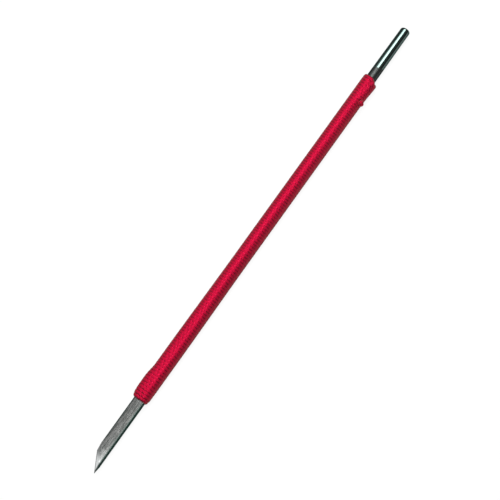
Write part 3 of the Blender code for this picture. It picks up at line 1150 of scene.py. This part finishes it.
        turns = stored("twist")
        swell = stored("swell")
        outward = stored("outward", "FLOAT_VECTOR")
        sideways = stored("sideways", "FLOAT_VECTOR")
        phase = (turns + given["Place in lay"]) * math.tau
        reach = given["Ply reach"] * swell
        offset = web.vector_math(
            "ADD",
            web.scaled(outward, phase.math("COSINE") * reach),
            web.scaled(sideways, phase.math("SINE") * reach * stored("narrow")),
        )
        position = web.wire("GeometryNodeInputPosition")
        line = store(given["Line"], "middle", position, "FLOAT_VECTOR")
        curve = web.wire("GeometryNodeMeshToCurve", sockets={"Mesh": line})
        curve = web.wire("GeometryNodeSetPosition", sockets={"Geometry": curve, "Offset": offset})
        tilt = turns * given["Fibre turns"] * math.tau
        curve = web.wire("GeometryNodeSetCurveTilt", sockets={"Curve": curve, "Tilt": tilt})
        round_sockets = {"Resolution": given["Sides"], "Radius": given["Ply radius"]}
        rim = web.wire("GeometryNodeCurvePrimitiveCircle", {"mode": "RADIUS"}, round_sockets)
        on_rim = web.scaled(position, 1.0 / given["Ply radius"])
        rim = store(rim, "rim", on_rim, "FLOAT_VECTOR")
        ply = web.wire(
            "GeometryNodeCurveToMesh",
            sockets={"Curve": curve, "Profile Curve": rim, "Scale": swell, "Fill Caps": True},
        )
        off_middle = web.vector_math("SUBTRACT", position, stored("middle", "FLOAT_VECTOR"))
        height = web.dot(off_middle, outward)
        half_pitch = given["Turn pitch"] * 0.5
        aside = abs(web.dot(off_middle, sideways)) / half_pitch * (1.0 - stored("free"))
        ply = store(ply, "aside", aside)
        above, below = height.math("MAXIMUM", 0.0), height.math("MINIMUM", 0.0)
        flattening = web.scaled(outward, above * (stored("press") - 1.0) + below * (stored("under") - 1.0))
        ply = web.wire("GeometryNodeSetPosition", sockets={"Geometry": ply, "Offset": flattening})
        ply = web.wire("GeometryNodeSetShadeSmooth", sockets={"Geometry": ply, "Shade Smooth": True})
        ply = web.wire("GeometryNodeRealizeInstances", sockets={"Geometry": ply})
        ply = web.wire("GeometryNodeSetMaterial", sockets={"Geometry": ply, "Material": given["Finish"]})
        web.add("NodeGroupOutput", sockets={"Ply": ply})
        return tree, names

    def lay_out_map(self, mesh: bpy.types.Mesh) -> None:
        """Give a ply a map on which its length lies in rows, one above the other.

        Args:
            mesh: The ply, which is changed in place.
        """
        count = len(mesh.loops)
        corners = np.empty(count, np.int32)
        mesh.loops.foreach_get("vertex_index", corners)
        starts = np.empty(len(mesh.polygons), np.int32)
        totals = np.empty(len(mesh.polygons), np.int32)
        mesh.polygons.foreach_get("loop_start", starts)
        mesh.polygons.foreach_get("loop_total", totals)
        face = np.repeat(np.arange(len(starts)), totals)
        step, side = corners // self.sides, corners % self.sides
        first_step = np.minimum.reduceat(step, starts)[face]
        wraps = np.maximum.reduceat(side, starts) == self.sides - 1
        wraps &= np.minimum.reduceat(side, starts) == 0
        side = np.where(wraps[face] & (side == 0), self.sides, side)
        row = first_step // self.row_steps
        rows = row.max() + 1
        u = (step - row * self.row_steps) / self.row_steps
        v = (row + self.row_margin + (1.0 - 2.0 * self.row_margin) * side / self.sides) / rows
        layer = mesh.uv_layers.new(name="OFBake", do_init=False)
        layer.uv.foreach_set("vector", np.stack([u, v], 1).astype(np.float32).ravel())

    def build(self) -> None:
        """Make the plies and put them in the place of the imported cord."""
        route = self.route()
        LOG.info("cord: %.3f m in turns %.3f mm apart", route.laid["run"][-1], self.pitch() / MM)
        material = self.finish.material()
        line = self.thread_line(route)
        tree, names = self.ply_tree()
        for ply in range(self.plies):
            values = {
                "Place in lay": ply / self.plies,
                "Ply reach": self.ply_reach,
                "Ply radius": self.ply_radius,
                "Turn pitch": self.pitch(),
                "Sides": self.sides,
                "Fibre turns": self.fibre_turns,
                "Finish": material,
            }
            modifier = line.modifiers.new("ply", "NODES")
            modifier.node_group = tree
            for name, value in values.items():
                modifier[names[name]] = value
            grown = line.evaluated_get(bpy.context.evaluated_depsgraph_get())
            mesh = bpy.data.meshes.new_from_object(grown)
            line.modifiers.remove(modifier)
            mesh.name = f"grip_cord_ply_{ply + 1}"
            self.rest_on_bench(mesh)
            self.lay_out_map(mesh)
            stands_for = [Node.WINDING, Node.START_TAIL, Node.END_TAIL] if ply == 0 else []
            add_piece(mesh, material, Slot.CORD, stands_for)
        bpy.data.objects.remove(line)

    def rest_on_bench(self, mesh: bpy.types.Mesh) -> None:
        """Press the lowest strands flat where the knife lies on them.

        Args:
            mesh: A ply, which is changed in place.
        """
        places = np.empty(len(mesh.vertices) * 3, np.float32)
        mesh.vertices.foreach_get("co", places)
        places[2::3] = np.maximum(places[2::3], self.bench_gap)
        mesh.vertices.foreach_set("co", places)
        mesh.update()


def unit(vectors: np.ndarray) -> np.ndarray:
    """Bring vectors to length 1."""
    return vectors / np.maximum(np.linalg.norm(vectors, axis=1, keepdims=True), TINY)


@dataclass(frozen=True)
class FloorFinish:
    """White paper that shows white to the eye and in the steel, keeps the shadow and throws little light."""

    paper: Colour = (0.92, 0.92, 0.92)
    thrown: Colour = (0.26, 0.26, 0.26)
    white_share: float = 0.92
    roughness: float = 0.9

    def material(self) -> bpy.types.Material:
        """Make the material.

        Returns:
            The material of the floor.
        """
        paint = Paint("white_paper")
        rays = paint.add("ShaderNodeLightPath")
        kinds = ("Is Camera Ray", "Is Glossy Ray", "Is Transmission Ray")
        camera, glossy, through = (Wire(paint, rays.outputs[kind]) for kind in kinds)
        shown = (camera + glossy + through).math("MINIMUM", 1.0)
        paint.finish(Base_Color=paint.blend(shown, self.thrown, self.paper), Roughness=self.roughness)
        glow = paint.wire("ShaderNodeEmission", sockets={"Color": (1.0, 1.0, 1.0, 1.0), "Strength": 1.0})
        lit = Wire(paint, paint.shader.outputs["BSDF"])
        mixed = paint.wire("ShaderNodeMixShader", sockets={0: shown * self.white_share, 1: lit, 2: glow})
        paint.feed(paint.tree.nodes["Material Output"], {"Surface": mixed})
        return paint.material


class Lamp(NamedTuple):
    """A flat lamp that faces down: its place, its lengths along X and Y, and its radiance."""

    place: tuple[float, float, float]
    size: tuple[float, float]
    radiance: float


class Patch(NamedTuple):
    """A pale part of the room: the way to it, how it fades in by the cosine off that way, and its level."""

    way: tuple[float, float, float]
    spread: Fade
    level: float


@dataclass
class Studio:
    """The floor, the lamps, the grey room round about, and the camera."""

    places: Places
    finish: FloorFinish = field(default_factory=FloorFinish)
    floor_half: float = 4.0
    long_lamp: Lamp = Lamp((0.04, 0.00, 0.60), (0.80, 0.28), 6.15)
    rear_lamp: Lamp = Lamp((0.38, 0.08, 0.58), (0.16, 0.46), 8.0)
    horizon: float = 0.06
    zenith: float = 0.26
    rise: Fade = Fade(0.0, 0.9)
    wall: Patch = Patch((-0.336, 0.935, 0.11), Fade(0.90, 0.97), 0.95)
    ceiling: Patch = Patch((0.033, 0.342, 0.939), Fade(0.950, 0.985), 0.50)
    side: Patch = Patch((0.14, 0.70, 0.70), Fade(0.92, 0.98), 1.15)
    lens_pixels: float = 1280.0
    frame_pixels: float = 500.0
    sensor: float = 36.0
    distance: float = 0.46104
    swing: float = 12.0 * DEGREE
    lean: float = 20.0 * DEGREE
    slant: float = 54.302 * DEGREE
    aim_x: float = -3.928 * MM
    aim_aside: float = -0.625 * MM
    nearest: float = 0.01
    farthest: float = 20.0

    def lay_floor(self) -> None:
        """Lay the floor that the knife rests on."""
        mesh = bpy.data.meshes.new("floor")
        half = self.floor_half
        corners = [(-half, -half, 0.0), (half, -half, 0.0), (half, half, 0.0), (-half, half, 0.0)]
        mesh.from_pydata(corners, [], [(0, 1, 2, 3)])
        mesh.materials.append(self.finish.material())
        floor = put_in_scene("floor", mesh)

    def hang_lamps(self) -> None:
        """Hang a long soft lamp over the knife, and a small brighter one that the shank mirrors."""
        for name, lamp in (("long_lamp", self.long_lamp), ("rear_lamp", self.rear_lamp)):
            light = bpy.data.lights.new(name, "AREA")
            light.shape = "RECTANGLE"
            light.size, light.size_y = lamp.size
            light.energy = math.pi * lamp.radiance * light.size * light.size_y
            put_in_scene(name, light).location = lamp.place

    def fill_sky(self) -> None:
        """Fill the room with a grey light, weaker at the horizon, and pale parts that the knife mirrors."""
        world = bpy.data.worlds.new("room")
        world.use_nodes = True
        web = Web(world.node_tree)
        way = web.wire("ShaderNodeTexCoord", output="Generated")
        _, _, height = web.parts(way)
        colour = web.blend(height.fade(self.rise), (self.horizon,) * 3, (self.zenith,) * 3)
        for patch in (self.wall, self.ceiling, self.side):
            share = web.dot(way, patch.way).fade(patch.spread)
            colour = web.blend(share, colour, (patch.level,) * 3)
        web.feed(world.node_tree.nodes["Background"], {"Color": colour})
        bpy.context.scene.world = world

    def set_camera(self) -> None:
        """Stand the camera where the photograph was taken from."""
        back = Vector((
            -math.sin(self.swing),
            -math.cos(self.swing) * math.sin(self.lean),
            math.cos(self.swing) * math.cos(self.lean),
        ))
        bar = Vector((1.0, 0.0, 0.0))
        along = (bar - back * bar.dot(back)).normalized()
        aside = back.cross(along)
        right = along * math.cos(self.slant) - aside * math.sin(self.slant)
        above = along * math.sin(self.slant) + aside * math.cos(self.slant)
        aim = Vector((self.aim_x, 0.0, self.places.axis_height)) + aside * self.aim_aside
        lens = bpy.data.cameras.new("camera")
        lens.sensor_width = self.sensor
        lens.lens = self.sensor * self.lens_pixels / self.frame_pixels
        lens.clip_start, lens.clip_end = self.nearest, self.farthest
        camera = put_in_scene("camera", lens)
        turned = Matrix((right, above, back)).transposed().to_4x4()
        camera.matrix_world = Matrix.Translation(aim + back * self.distance) @ turned
        bpy.context.scene.camera = camera

    def build(self) -> None:
        """Set up the studio."""
        self.lay_floor()
        self.hang_lamps()
        self.fill_sky()
        self.set_camera()
        bpy.context.scene.view_settings.view_transform = "Standard"
        LOG.info("studio: floor, lamps, sky and camera")


def main() -> None:
    """Dress the knife and set up the studio."""
    logging.basicConfig(level=logging.INFO, format="%(message)s", stream=sys.stdout)
    LOG.info("frame: %d packed solids", len(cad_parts))
    places = Places.read()
    Studio(places).build()
    bar = SteelBar(places)
    bar.build()
    GripCord(places, bar).build()


if __name__ == "__main__":
    main()
